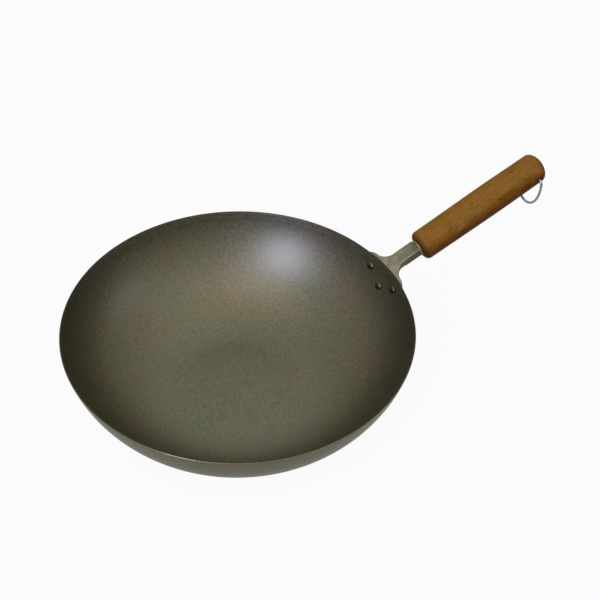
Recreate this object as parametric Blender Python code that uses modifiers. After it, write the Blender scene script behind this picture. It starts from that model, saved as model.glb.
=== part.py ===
"""A titanium wok: a spun bowl on a flat base, a pressed sheet bracket held by three rivets, and a turned wooden
grip on a round tang, with a wire ring that hangs from the butt of the grip.

Metres, +Z up. The origin is the centre of the underside of the base, and the handle runs out along +X. It makes
one object for each separate piece of the wok, in the collection titanium_wok. What cuts them is in cutters."""

import math

import bmesh
import bpy
from mathutils import Matrix, Vector

# The spun bowl: a flat base and one arc from the base to the rim
RIM_RADIUS = 0.165
BOWL_DEPTH = 0.0865
BASE_RADIUS = 0.056
BOWL_WALL = 0.0012

# The handle's axis: its rise, and how far under the rim's plane it crosses the rim's radius
HANDLE_RISE = math.radians(19.2)
AXIS_DROP = 0.0033

# The turned grip, measured along the handle's axis from the rim's radius
GRIP_START = 0.0386
GRIP_LENGTH = 0.149
GRIP_FRONT_RADIUS = 0.0150
GRIP_SWELL_RADIUS = 0.0156
GRIP_TAIL_RADIUS = 0.0152
GRIP_SWELL_AT = 0.090
GRIP_FRONT_ROUND = 0.0050
GRIP_DOME = 0.0095

# The pressed bracket: its sheet, its channel-shaped neck, the flare from the neck to the plate, and the plate's
# margin round the rivets. The plate leaves the wall in a tight bend under the rim, climbs past the rim and eases
# into the neck. The flanges grow to their full height within FLANGE_RUN of the plate's shoulders
SHEET = 0.0018
NECK_WIDTH = 0.0161
NECK_HEIGHT = 0.0079
FLANGE_BEND = 0.0022
INNER_BEND = 0.0005
EDGE_ROUND = 0.0003
FLANGE_RUN = 0.0150
LEAVE_DROP = 0.0025
RIM_BEND = 0.0040
CLIMB_RISE = math.radians(33)
EASE_BEND = 0.0250
FLARE_RADIUS = 0.0120
PLATE_MARGIN = 0.0138

# The rivets: their places are measured over the outside of the wall, down from the rim
RIVET_SPREAD = 0.0392
RIVET_DROP = 0.0118
LOWER_RIVET_DROP = 0.0225
SHANK_RADIUS = 0.0025
HEAD_RADIUS = 0.0040
HEAD_HEIGHT = 0.0017

# The collar between the neck and the grip, and the round tang that passes through it
COLLAR_RADIUS = 0.0083
COLLAR_LENGTH = 0.0022
COLLAR_ROUND = 0.0006
SPIGOT_RADIUS = 0.0070
SPIGOT_LENGTH = 0.0040
TANG_RADIUS = 0.0039
TANG_IN_NECK = 0.0200
TANG_IN_GRIP = 0.0720
TANG_CHAMFER = 0.0010

# The pin that locks the grip on the tang, driven in from below
PIN_RADIUS = 0.0015
PIN_AT = 0.0220
PIN_DEPTH = 0.0240
PIN_SUNK = 0.0003

# The hanging ring: a wire whose two ends turn into one cross hole near the butt
WIRE_RADIUS = 0.00125
RING_HOLE_FROM_BUTT = 0.0138
RING_HALF_WIDTH = 0.0200
RING_DEPTH = 0.0375
RING_SHOULDER = 0.0050
RING_ELBOW = 0.0040
RING_END_GAP = 0.0030

# Clearances. A rivet's head needs a little more, because the wall's facets stand inside its true curve
SEAT = 0.0003
HEAD_SEAT = 0.0004
HOLE_FIT = 0.0003
RING_PLAY = 0.0005

# How finely curves are drawn
BOWL_STEPS = 96
WALL_POINTS = 12
GRIP_STEPS = 40
GRIP_SPANS = 8
COLLAR_STEPS = 32
TANG_STEPS = 24
RIVET_STEPS = 16
PLATE_CORNER_STEPS = 12
FLARE_STEPS = 8
NECK_SPANS = 5
WEB_SPANS = 6
EDGE_STEPS = 4
RING_STEPS = 14
WIRE_SIDES = 2

# The plate's outline starts this far round from its foot's lowest point, so its first section has a width
FOOT_START = math.radians(2)

# The most of a narrow section's half width that its edge may take
EDGE_SHARE = 0.3

PARTS = "titanium_wok"
CUTTERS = "cutters"


def clear_scene():
    """Remove whatever the file holds."""
    for item in list(bpy.data.objects):
        bpy.data.objects.remove(item, do_unlink=True)
    for group in list(bpy.data.collections):
        bpy.data.collections.remove(group)


def new_collection(name):
    """Add a collection under the scene's own."""
    group = bpy.data.collections.new(name)
    bpy.context.scene.collection.children.link(group)
    return group


def linear(value):
    """One sRGB channel, 0 to 1, as linear light."""
    if value <= 0.04045:
        return value / 12.92
    return ((value + 0.055) / 1.055) ** 2.4


def make_material(name, hex_colour, roughness, metallic):
    """A plain finish, its colour written as sRGB hex."""
    finish = bpy.data.materials.new(name)
    finish.use_nodes = True
    shader = finish.node_tree.nodes["Principled BSDF"]
    channels = [int(hex_colour[i:i + 2], 16) / 255 for i in (0, 2, 4)]
    shader.inputs["Base Color"].default_value = [linear(c) for c in channels] + [1.0]
    shader.inputs["Roughness"].default_value = roughness
    shader.inputs["Metallic"].default_value = metallic
    return finish


def add_object(name, data, finish=None, parent=None):
    """Put a mesh or a curve in the scene as a part, or as a cutter where it has no finish."""
    item = bpy.data.objects.new(name, data)
    if finish is None:
        bpy.data.collections[CUTTERS].objects.link(item)
        item.hide_render = True
        item.display_type = "WIRE"
    else:
        bpy.data.collections[PARTS].objects.link(item)
        data.materials.append(finish)
    item.parent = parent
    return item


def add_empty(name, matrix):
    """An empty that carries the pieces modelled in its own frame."""
    item = bpy.data.objects.new(name, None)
    bpy.context.scene.collection.objects.link(item)
    item.matrix_world = matrix
    return item


def smooth_step(value):
    """0 to 1 with level ends."""
    clamped = min(max(value, 0.0), 1.0)
    return clamped * clamped * (3 - 2 * clamped)


def arc(centre, radii, start, end, count):
    """Points of an ellipse's arc, angles in radians from the first axis, both ends included."""
    points = []
    for i in range(count + 1):
        angle = start + (end - start) * i / count
        points.append((centre[0] + radii[0] * math.cos(angle), centre[1] + radii[1] * math.sin(angle)))
    return points


def between(start, end, count):
    """Points at even steps from a start, which is left out, to an end."""
    steps = [i / count for i in range(1, count + 1)]
    return [(start[0] + (end[0] - start[0]) * step, start[1] + (end[1] - start[1]) * step) for step in steps]


def shade_round(mesh, degrees=35):
    """Smooth shading that keeps true corners sharp."""
    mesh.shade_smooth()
    mesh.set_sharp_from_angle(angle=math.radians(degrees))


def turned(name, profile, steps, finish=None, parent=None):
    """A turned piece: a profile at +X, from the top down, screwed once round Z."""
    mesh = bpy.data.meshes.new(name)
    edges = [(i, i + 1) for i in range(len(profile) - 1)]
    mesh.from_pydata([(x, 0.0, z) for x, z in profile], edges, [])
    item = add_object(name, mesh, finish, parent)
    screw = item.modifiers.new("turn", "SCREW")
    screw.axis = "Z"
    screw.angle = math.tau
    screw.steps = steps
    screw.render_steps = steps
    screw.use_merge_vertices = True
    screw.merge_threshold = 0.00001
    screw.use_smooth_shade = True
    return item


def drill(name, radius, length, matrix, sides, parent=None):
    """A round cutter along its own Z, centred on its matrix."""
    mesh = bpy.data.meshes.new(name)
    shape = bmesh.new()
    bmesh.ops.create_cone(
        shape, cap_ends=True, segments=sides, radius1=radius, radius2=radius, depth=length, matrix=matrix)
    shape.to_mesh(mesh)
    shape.free()
    return add_object(name, mesh, None, parent)


def cut(item, *cutters):
    """Take each cutter's shape out of a piece."""
    for cutter in cutters:
        boolean = item.modifiers.new("cut_" + cutter.name, "BOOLEAN")
        boolean.operation = "DIFFERENCE"
        boolean.solver = "EXACT"
        boolean.object = cutter


class Wall:
    """The outside of the bowl's wall: one arc, level where it leaves the base and ending at the rim."""

    reach = RIM_RADIUS - BASE_RADIUS
    radius = (BOWL_DEPTH ** 2 + reach ** 2) / (2 * BOWL_DEPTH)
    rim_angle = math.atan2(reach, radius - BOWL_DEPTH)

    @classmethod
    def angle_at(cls, drop):
        """The arc's angle at a distance over the wall below the rim."""
        return cls.rim_angle - drop / cls.radius

    @classmethod
    def point(cls, angle, offset=0.0):
        """Radius and height of a point of the arc, moved out of the wall by offset."""
        reach = cls.radius + offset
        return BASE_RADIUS + reach * math.sin(angle), cls.radius - reach * math.cos(angle)


def make_bowl(finish):
    """The bowl, spun from one disc, with its rim left round."""
    last = Wall.rim_angle - BOWL_WALL / 2 / Wall.radius
    angles = [last * i / WALL_POINTS for i in range(WALL_POINTS + 1)]
    inside = [Wall.point(angle, -BOWL_WALL) for angle in angles]
    outside = [Wall.point(angle) for angle in reversed(angles)]
    middle = Wall.point(last, -BOWL_WALL / 2)
    half_wall = (BOWL_WALL / 2, BOWL_WALL / 2)
    lip = arc(middle, half_wall, math.pi / 2 + last, last - math.pi / 2, EDGE_STEPS)[1:-1]
    profile = [(0.0, BOWL_WALL)] + inside + lip + outside + [(0.0, 0.0)]
    return turned("bowl", profile, BOWL_STEPS, finish)


def rivet_places():
    """Where the rivets stand: name, distance below the rim, and distance round the wall from the handle."""
    half = RIVET_SPREAD / 2
    return (
        ("rivet_left", RIVET_DROP, half),
        ("rivet_right", RIVET_DROP, -half),
        ("rivet_lower", LOWER_RIVET_DROP, 0.0),
    )


def wall_frame(drop, sideways):
    """A frame on the outside of the wall, with Z straight out of it."""
    angle = Wall.angle_at(drop)
    radius, height = Wall.point(angle)
    turn = Matrix.Rotation(sideways / radius, 4, "Z")
    lean = Matrix.Rotation(math.pi - angle, 4, "Y")
    return turn @ Matrix.Translation((radius, 0.0, height)) @ lean


def make_rivet(name, frame, finish):
    """A rivet through wall and plate, with a low round head on both sides."""
    out_seat = SEAT + SHEET + SEAT
    in_seat = -BOWL_WALL - HEAD_SEAT
    dome = (HEAD_RADIUS, HEAD_HEIGHT)
    profile = arc((0.0, out_seat), dome, math.pi / 2, 0.0, EDGE_STEPS)
    profile += [(SHANK_RADIUS, out_seat), (SHANK_RADIUS, in_seat)]
    profile += arc((0.0, in_seat), dome, 0.0, -math.pi / 2, EDGE_STEPS)
    profile[0] = (0.0, out_seat + HEAD_HEIGHT)
    profile[-1] = (0.0, in_seat - HEAD_HEIGHT)
    rivet = turned(name, profile, RIVET_STEPS, finish)
    rivet.matrix_world = frame
    return rivet


class BracketLine:
    """The middle line of the bracket's upper face, seen from the side: it lies on the wall, leaves it in a bend
    under the rim, climbs past the rim, eases in a wide bend and runs straight along the neck. Stations are
    distances along it from where it leaves the wall."""

    wall = Wall.radius + SEAT
    leave = Wall.angle_at(LEAVE_DROP)
    bend_centre = Vector(Wall.point(leave, SEAT + RIM_BEND))
    climb_start = (leave - CLIMB_RISE) * RIM_BEND

    # The climb and the neck's upper face would meet in a corner, which the wide bend cuts off
    climb = Vector((math.cos(CLIMB_RISE), math.sin(CLIMB_RISE)))
    foot = bend_centre + Vector((-climb.y, climb.x)) * RIM_BEND
    along = Vector((math.cos(HANDLE_RISE), math.sin(HANDLE_RISE)))
    up = Vector((-along.y, along.x))
    neck = Vector((RIM_RADIUS, BOWL_DEPTH - AXIS_DROP)) + up * (TANG_RADIUS + SEAT + SHEET)
    corner_at = (neck - foot).dot(up) / climb.dot(up)
    corner = foot + climb * corner_at
    cut_back = EASE_BEND * math.tan((CLIMB_RISE - HANDLE_RISE) / 2)
    ease_start = climb_start + corner_at - cut_back
    ease_centre = corner - climb * cut_back - Vector((-climb.y, climb.x)) * EASE_BEND
    neck_start = ease_start + (CLIMB_RISE - HANDLE_RISE) * EASE_BEND

    @classmethod
    def station(cls, drop):
        """The station of a place on the wall, from its distance below the rim."""
        return (Wall.angle_at(drop) - cls.leave) * cls.wall

    @classmethod
    def end(cls):
        """The station where the neck meets the collar."""
        past = (cls.corner - cls.neck).dot(cls.along) + cls.cut_back
        return cls.neck_start + GRIP_START - COLLAR_LENGTH - SEAT - past

    @classmethod
    def at(cls, station):
        """The line's point (radius, height) and its direction as an angle from level."""
        if station < 0:
            angle = cls.leave + station / cls.wall
            return Vector(Wall.point(angle, SEAT)), angle
        if station < cls.climb_start:
            angle = cls.leave - station / RIM_BEND
            return cls.bend_centre + Vector((-math.sin(angle), math.cos(angle))) * RIM_BEND, angle
        if station < cls.ease_start:
            return cls.foot + cls.climb * (station - cls.climb_start), CLIMB_RISE
        if station < cls.neck_start:
            angle = CLIMB_RISE - (station - cls.ease_start) / EASE_BEND
            return cls.ease_centre + Vector((-math.sin(angle), math.cos(angle))) * EASE_BEND, angle
        return cls.corner + cls.along * (cls.cut_back + station - cls.neck_start), HANDLE_RISE


def bracket_outline():
    """Half the bracket's outline as (station, half width), from the foot of the plate to the end of the neck:
    arcs of one margin round the rivets, a flare, and the straight neck."""
    foot = BracketLine.station(LOWER_RIVET_DROP)
    corner = BracketLine.station(RIVET_DROP)
    corner_at = RIVET_SPREAD / 2
    span = math.hypot(corner - foot, corner_at)
    side = -math.asin(corner_at / span)
    flare_at = NECK_WIDTH / 2 + FLARE_RADIUS
    meet = math.acos((flare_at - corner_at) / (PLATE_MARGIN + FLARE_RADIUS))
    flare = corner + (PLATE_MARGIN + FLARE_RADIUS) * math.sin(meet)
    margin = (PLATE_MARGIN, PLATE_MARGIN)
    fillet = (FLARE_RADIUS, FLARE_RADIUS)

    points = arc((0.0, foot), margin, FOOT_START - math.pi / 2, side, EDGE_STEPS)
    shoulder = arc((corner_at, corner), margin, side, meet, PLATE_CORNER_STEPS)
    points += between(points[-1], shoulder[0], EDGE_STEPS)[:-1] + shoulder
    points += arc((flare_at, flare), fillet, math.pi + meet, math.pi, FLARE_STEPS)[1:]
    points += between(points[-1], (NECK_WIDTH / 2, BracketLine.end()), NECK_SPANS)
    return [(station, half) for half, station in points], shoulder[-1][1], flare


def bracket_section(half, lip):
    """A closed section of the bracket as (sideways, down), round from the middle of its upper face: the sheet's
    web, and along each edge a lip that is turned down to a depth of lip. A lip as deep as the sheet is none."""
    grown = (lip - SHEET) / (NECK_HEIGHT - SHEET)
    bend = min(EDGE_ROUND + (FLANGE_BEND - EDGE_ROUND) * grown, EDGE_SHARE * half)
    inner_bend = INNER_BEND * grown
    inside = half - min(SHEET, EDGE_SHARE * half)
    flat = half - bend
    side = [(flat * i / WEB_SPANS, 0.0) for i in range(WEB_SPANS)]
    side += arc((flat, bend), (bend, bend), -math.pi / 2, 0.0, EDGE_STEPS)
    side += [(half, lip), (inside, lip), (inside, SHEET + inner_bend)]
    side += [((inside - inner_bend) * i / WEB_SPANS, SHEET) for i in range(WEB_SPANS, -1, -1)]
    return side + [(-across, down) for across, down in reversed(side[1:-1])]


def make_bracket(finish):
    """The bracket, pressed from one sheet: a plate that lies on the wall round the rivets, bends out at the rim
    and draws in to a neck, with edges that turn down into flanges. It is lofted through sections across its
    middle line."""
    outline, shoulder, flare = bracket_outline()
    mesh = bpy.data.meshes.new("handle_bracket")
    shape = bmesh.new()
    rings = []
    for station, half in outline:
        centre, angle = BracketLine.at(station)
        lip = SHEET + (NECK_HEIGHT - SHEET) * smooth_step((station - shoulder) / FLANGE_RUN)
        wrap = 1.0 - smooth_step(station / flare)
        ring = []
        for across, down in bracket_section(half, lip):
            round_wall = across / centre.x
            radius = centre.x + math.sin(angle) * down
            x = radius - wrap * radius * (1 - math.cos(round_wall))
            y = across + wrap * (radius * math.sin(round_wall) - across)
            ring.append(shape.verts.new((x, y, centre.y - math.cos(angle) * down)))
        rings.append(ring)
    for lower, upper in zip(rings, rings[1:]):
        for i in range(len(lower)):
            after = (i + 1) % len(lower)
            shape.faces.new((lower[i], upper[i], upper[after], lower[after]))
    shape.faces.new(rings[0])
    shape.faces.new(rings[-1])
    bmesh.ops.remove_doubles(shape, verts=shape.verts, dist=0.000001)
    bmesh.ops.recalc_face_normals(shape, faces=shape.faces)
    shape.to_mesh(mesh)
    shape.free()
    shade_round(mesh)
    return add_object("handle_bracket", mesh, finish)


def make_collar(axis, finish):
    """The turned collar that the neck butts on. Its spigot sits in the grip, and the tang passes through it."""
    front = GRIP_START - COLLAR_LENGTH
    back = GRIP_START - SEAT
    edge = (COLLAR_ROUND, COLLAR_ROUND)
    inset = COLLAR_RADIUS - COLLAR_ROUND
    profile = [(0.0, GRIP_START + SPIGOT_LENGTH), (SPIGOT_RADIUS, GRIP_START + SPIGOT_LENGTH)]
    profile += [(SPIGOT_RADIUS, back)]
    profile += arc((inset, back - COLLAR_ROUND), edge, math.pi / 2, 0.0, EDGE_STEPS)
    profile += arc((inset, front + COLLAR_ROUND), edge, 0.0, -math.pi / 2, EDGE_STEPS)
    profile += [(0.0, front)]
    collar = turned("collar", profile, COLLAR_STEPS, finish, axis)
    collar.rotation_euler = (0.0, math.pi / 2, 0.0)
    return collar


def make_tang(axis, finish):
    """The round steel tang, welded up under the neck's web, through the collar and into the grip."""
    start = GRIP_START - COLLAR_LENGTH - TANG_IN_NECK
    end = GRIP_START + TANG_IN_GRIP
    slim = TANG_RADIUS - TANG_CHAMFER
    profile = [(0.0, end), (slim, end), (TANG_RADIUS, end - TANG_CHAMFER)]
    profile += [(TANG_RADIUS, start + TANG_CHAMFER), (slim, start), (0.0, start)]
    tang = turned("tang", profile, TANG_STEPS, finish, axis)
    tang.rotation_euler = (0.0, math.pi / 2, 0.0)
    return tang


def as_mesh(name, curve, finish, parent=None):
    """Turn a curve into a closed mesh object, its loose caps welded on."""
    guide = bpy.data.objects.new(name + "_guide", curve)
    bpy.context.scene.collection.objects.link(guide)
    seen = guide.evaluated_get(bpy.context.evaluated_depsgraph_get())
    mesh = bpy.data.meshes.new_from_object(seen)
    bpy.data.objects.remove(guide, do_unlink=True)
    mesh.name = name
    mesh.materials.clear()
    shape = bmesh.new()
    shape.from_mesh(mesh)
    bmesh.ops.remove_doubles(shape, verts=shape.verts, dist=0.00001)
    shape.to_mesh(mesh)
    shape.free()
    return add_object(name, mesh, finish, parent)


def make_pin(axis, finish):
    """The pin that holds the grip on the tang, a little under the wood's surface on the lower side."""
    low = -grip_radius(PIN_AT) + PIN_SUNK
    profile = [(0.0, low + PIN_DEPTH), (PIN_RADIUS, low + PIN_DEPTH), (PIN_RADIUS, low), (0.0, low)]
    pin = turned("grip_pin", profile, RIVET_STEPS, finish, axis)
    pin.location = (GRIP_START + PIN_AT, 0.0, 0.0)
    return pin


def grip_radius(along):
    """The grip's turned radius, from its front face: it swells to its fullest and eases again to the tail."""
    if along < GRIP_SWELL_AT:
        share = smooth_step(along / GRIP_SWELL_AT)
        return GRIP_FRONT_RADIUS + (GRIP_SWELL_RADIUS - GRIP_FRONT_RADIUS) * share
    share = smooth_step((along - GRIP_SWELL_AT) / (GRIP_LENGTH - GRIP_DOME - GRIP_SWELL_AT))
    return GRIP_SWELL_RADIUS + (GRIP_TAIL_RADIUS - GRIP_SWELL_RADIUS) * share


def make_grip(axis, finish):
    """The turned wooden grip, with rounded shoulders at the front and a domed butt."""
    tail = GRIP_LENGTH - GRIP_DOME
    dome = arc((0.0, tail), (GRIP_TAIL_RADIUS, GRIP_DOME), math.pi / 2, 0.0, GRIP_SPANS)
    dome[0] = (0.0, GRIP_LENGTH)
    shoulder = grip_radius(GRIP_FRONT_ROUND)
    rounding = (GRIP_FRONT_ROUND, GRIP_FRONT_ROUND)
    front = arc((shoulder - GRIP_FRONT_ROUND, GRIP_FRONT_ROUND), rounding, 0.0, -math.pi / 2, EDGE_STEPS)
    stations = [tail + (GRIP_FRONT_ROUND - tail) * i / GRIP_SPANS for i in range(1, GRIP_SPANS)]
    body = [(grip_radius(along), along) for along in stations]
    grip = turned("grip", dome + body + front + [(0.0, 0.0)], GRIP_STEPS, finish, axis)
    grip.location = (GRIP_START, 0.0, 0.0)
    grip.rotation_euler = (0.0, math.pi / 2, 0.0)
    return grip


def ring_path():
    """Half the ring's wire as (sideways, down), from its end in the cross hole to the lowest point."""
    elbow_at = RING_HALF_WIDTH - RING_ELBOW
    reach = RING_DEPTH - RING_SHOULDER
    points = [(RING_END_GAP / 2, 0.0)]
    points += arc((elbow_at, RING_ELBOW), (RING_ELBOW, RING_ELBOW), -math.pi / 2, 0.0, EDGE_STEPS)
    points += arc((0.0, RING_SHOULDER), (RING_HALF_WIDTH, reach), 0.0, math.pi / 2, RING_STEPS)
    return points


def make_ring(hinge, finish):
    """The hanging ring: one bent wire whose two ends meet, with a gap, inside the cross hole."""
    half = ring_path()
    path = half[:-1] + [(0.0, RING_DEPTH)] + [(-across, down) for across, down in reversed(half[:-1])]
    wire = bpy.data.curves.new("ring_wire", "CURVE")
    wire.dimensions = "3D"
    wire.bevel_depth = WIRE_RADIUS
    wire.bevel_resolution = WIRE_SIDES
    wire.use_fill_caps = True
    spline = wire.splines.new("POLY")
    spline.points.add(len(path) - 1)
    for point, (across, down) in zip(spline.points, path):
        point.co = (0.0, across, -down, 1.0)
    ring = as_mesh("hanging_ring", wire, finish, hinge)
    shade_round(ring.data)
    return ring


def cut_rivet_holes(bowl, bracket):
    """One hole through wall and plate for each rivet."""
    length = 4 * (BOWL_WALL + SHEET + SEAT)
    for name, drop, sideways in rivet_places():
        frame = wall_frame(drop, sideways)
        hole = drill(name + "_hole", SHANK_RADIUS + HOLE_FIT, length, frame, RIVET_STEPS)
        cut(bowl, hole)
        cut(bracket, hole)


def cut_tang_seat(axis, collar, grip):
    """The bore through the collar for the tang, and the grip's bore and counterbore for tang and spigot."""
    along_axis = Matrix.Translation((GRIP_START, 0.0, 0.0)) @ Matrix.Rotation(math.pi / 2, 4, "Y")
    bore = TANG_RADIUS + HOLE_FIT
    collar_bore = drill("collar_bore", bore, 4 * (COLLAR_LENGTH + SPIGOT_LENGTH), along_axis, TANG_STEPS, axis)
    cut(collar, collar_bore)

    tang_bore = drill("tang_bore", bore, 2 * (TANG_IN_GRIP + SEAT), along_axis, TANG_STEPS, axis)
    seat = SPIGOT_RADIUS + HOLE_FIT
    spigot_bore = drill("spigot_bore", seat, 2 * (SPIGOT_LENGTH + SEAT), along_axis, COLLAR_STEPS, axis)
    cut(grip, tang_bore, spigot_bore)


def cut_pin_hole(axis, tang, grip):
    """The pin's hole, up from the lower side of the grip and through the tang."""
    top = -grip_radius(PIN_AT) + PIN_SUNK + PIN_DEPTH + SEAT
    length = 2 * grip_radius(PIN_AT)
    frame = Matrix.Translation((GRIP_START + PIN_AT, 0.0, top - length / 2))
    hole = drill("pin_hole", PIN_RADIUS + HOLE_FIT, length, frame, RIVET_STEPS, axis)
    cut(tang, hole)
    cut(grip, hole)


def cut_ring_hole(axis, grip):
    """The cross hole near the butt that the ring turns in."""
    frame = Matrix.Translation((ring_hole_at(), 0.0, 0.0)) @ Matrix.Rotation(math.pi / 2, 4, "X")
    hole = drill("ring_hole", WIRE_RADIUS + RING_PLAY, 4 * GRIP_TAIL_RADIUS, frame, RIVET_STEPS, axis)
    cut(grip, hole)


def ring_hole_at():
    """The cross hole's place along the handle's axis."""
    return GRIP_START + GRIP_LENGTH - RING_HOLE_FROM_BUTT


def build():
    """Make every piece of the wok in its place."""
    clear_scene()
    new_collection(PARTS)
    new_collection(CUTTERS)
    bowl_metal = make_material("satin_titanium", "66624F", 0.42, 0.9)
    bracket_metal = make_material("pressed_titanium", "8B887D", 0.45, 0.9)
    fitting_metal = make_material("turned_steel", "848780", 0.4, 0.9)
    rivet_metal = make_material("rivet_steel", "5D5D57", 0.45, 0.9)
    tang_metal = make_material("tang_steel", "6C6C69", 0.5, 0.9)
    ring_metal = make_material("drawn_wire", "9DA0A3", 0.3, 1.0)
    wood = make_material("varnished_wood", "8A5B25", 0.38, 0.0)

    axis_place = Matrix.Translation((RIM_RADIUS, 0.0, BOWL_DEPTH - AXIS_DROP))
    axis_frame = axis_place @ Matrix.Rotation(-HANDLE_RISE, 4, "Y")
    axis = add_empty("handle_axis", axis_frame)
    hinge = add_empty("ring_hinge", Matrix.Translation(axis_frame @ Vector((ring_hole_at(), 0.0, 0.0))))

    bowl = make_bowl(bowl_metal)
    bracket = make_bracket(bracket_metal)
    cut_rivet_holes(bowl, bracket)
    for name, drop, sideways in rivet_places():
        make_rivet(name, wall_frame(drop, sideways), rivet_metal)

    collar = make_collar(axis, fitting_metal)
    tang = make_tang(axis, tang_metal)
    grip = make_grip(axis, wood)
    make_pin(axis, tang_metal)
    cut_tang_seat(axis, collar, grip)
    cut_pin_hole(axis, tang, grip)
    cut_ring_hole(axis, grip)
    make_ring(hinge, ring_metal)


build()
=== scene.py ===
"""The looks of the titanium wok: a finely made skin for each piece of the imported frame, the finishes, a
pale floor with soft studio light, and the camera at the photograph's viewing angle.

Metres, +Z up, in the frame's own axes: the origin is the centre of the underside of the bowl's flat base,
and the handle runs out along +X."""

import math

import bmesh
import bpy
from mathutils import Matrix, Vector


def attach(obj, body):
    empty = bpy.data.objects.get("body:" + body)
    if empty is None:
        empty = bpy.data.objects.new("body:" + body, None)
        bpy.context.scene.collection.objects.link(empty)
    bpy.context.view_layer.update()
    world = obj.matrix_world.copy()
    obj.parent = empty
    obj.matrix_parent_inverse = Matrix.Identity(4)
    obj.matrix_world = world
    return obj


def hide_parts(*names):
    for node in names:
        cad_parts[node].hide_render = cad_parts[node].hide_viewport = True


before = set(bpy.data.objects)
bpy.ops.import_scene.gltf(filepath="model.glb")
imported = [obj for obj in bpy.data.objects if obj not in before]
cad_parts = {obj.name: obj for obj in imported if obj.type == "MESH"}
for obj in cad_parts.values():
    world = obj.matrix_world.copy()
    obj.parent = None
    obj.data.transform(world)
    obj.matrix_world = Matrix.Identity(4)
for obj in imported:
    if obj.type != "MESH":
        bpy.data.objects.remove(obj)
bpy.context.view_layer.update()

MM = 0.001

# The bowl, as spun: a flat base and one arc from the base to the rim. A brighter band runs under the rim,
# with a fine darker line below it
RIM_RADIUS = 0.165
BOWL_DEPTH = 0.0865
BASE_RADIUS = 0.056
BOWL_WALL = 0.0012
RIM_BAND = 0.0073
RIM_LINE = 0.0010

# The handle's axis: its rise, and how far under the rim's plane it crosses the rim's radius
HANDLE_RISE = math.radians(19.2)
AXIS_DROP = 0.0033

# The turned grip, measured along the handle's axis from the rim's radius
GRIP_START = 0.0386
GRIP_LENGTH = 0.149
GRIP_FRONT_RADIUS = 0.0150
GRIP_SWELL_RADIUS = 0.0156
GRIP_TAIL_RADIUS = 0.0152
GRIP_SWELL_AT = 0.090
GRIP_FRONT_ROUND = 0.0050
GRIP_DOME = 0.0095

# The pressed bracket: its sheet, its channel-shaped neck, the flare from the neck to the plate, and the
# plate's margin round the rivets. The plate leaves the wall in a tight bend under the rim, climbs past the
# rim and eases into the neck. The flanges grow to their full height within FLANGE_RUN of the plate's
# shoulders. Where a section is narrow, no bend or edge in it is wider than NARROW_SHARE of its half width
SHEET = 0.0018
NECK_WIDTH = 0.0161
NECK_HEIGHT = 0.0079
FLANGE_BEND = 0.0022
INNER_BEND = 0.0007
SHEARED_EDGE = 0.0004
FLANGE_RUN = 0.0150
LEAVE_DROP = 0.0025
RIM_BEND = 0.0040
CLIMB_RISE = math.radians(33)
EASE_BEND = 0.0250
FLARE_RADIUS = 0.0120
PLATE_MARGIN = 0.0138
NARROW_SHARE = 0.3

# The rivets: their places are measured over the outside of the wall, down from the rim
RIVET_SPREAD = 0.0392
RIVET_DROP = 0.0118
LOWER_RIVET_DROP = 0.0225
SHANK_RADIUS = 0.0025
HEAD_RADIUS = 0.0040
HEAD_HEIGHT = 0.0017
HEAD_SKIRT = 0.0004

# The collar, the tang that passes through it, and the pin that locks the grip on the tang
COLLAR_RADIUS = 0.0083
COLLAR_LENGTH = 0.0022
COLLAR_ROUND = 0.0006
SPIGOT_RADIUS = 0.0070
SPIGOT_LENGTH = 0.0040
TANG_RADIUS = 0.0039
TANG_IN_NECK = 0.0200
TANG_IN_GRIP = 0.0720
TANG_CHAMFER = 0.0010
PIN_RADIUS = 0.0015
PIN_AT = 0.0220
PIN_DEPTH = 0.0240
PIN_SUNK = 0.0003
PIN_CHAMFER = 0.0003

# The hanging ring's wire
WIRE_RADIUS = 0.00125
RING_HOLE_FROM_BUTT = 0.0138
RING_HALF_WIDTH = 0.0200
RING_DEPTH = 0.0375
RING_SHOULDER = 0.0050
RING_ELBOW = 0.0040
RING_END_GAP = 0.0030

# Clearances
SEAT = 0.0003
HEAD_SEAT = 0.0004
HOLE_FIT = 0.0003
RING_PLAY = 0.0005

# How finely curves are drawn, how close points are welded, and the corners that stay sharp in the shading
BOWL_STEPS = 256
TURNED_STEPS = 128
SMALL_STEPS = 64
WIRE_SIDES = 32
WELD = MM / 1000
SHARP_CORNER = math.radians(32)

# Where most of a noise pattern's values lie, and the factor that white stands for in a ramp of shades
MIDDLE_HALF = {"From Min": 0.25, "From Max": 0.75}
WHITE_FACTOR = 2.0

# The handle's axis, which starts at the rim's radius: a frame with X along it, and one with Z along it
AXIS_START = Matrix.Translation((RIM_RADIUS, 0.0, BOWL_DEPTH - AXIS_DROP))
AXIS_FRAME = AXIS_START @ Matrix.Rotation(-HANDLE_RISE, 4, "Y")
ALONG_AXIS = AXIS_FRAME @ Matrix.Rotation(math.pi / 2, 4, "Y")
PIN_PLACE = AXIS_FRAME @ Matrix.Translation((GRIP_START + PIN_AT, 0.0, 0.0))
RING_HOLE_AT = GRIP_START + GRIP_LENGTH - RING_HOLE_FROM_BUTT


def smooth_step(value):
    """0 to 1 with level ends."""
    clamped = min(max(value, 0.0), 1.0)
    return clamped * clamped * (3 - 2 * clamped)


def arc(centre, radii, start, end, count):
    """Points of an ellipse's arc, angles in radians from the first axis, both ends included."""
    points = []
    for i in range(count + 1):
        angle = start + (end - start) * i / count
        points.append((centre[0] + radii[0] * math.cos(angle), centre[1] + radii[1] * math.sin(angle)))
    return points


def between(start, end, count):
    """Points at even steps from a start, which is left out, to an end."""
    steps = [i / count for i in range(1, count + 1)]
    return [(start[0] + (end[0] - start[0]) * step, start[1] + (end[1] - start[1]) * step) for step in steps]


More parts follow.
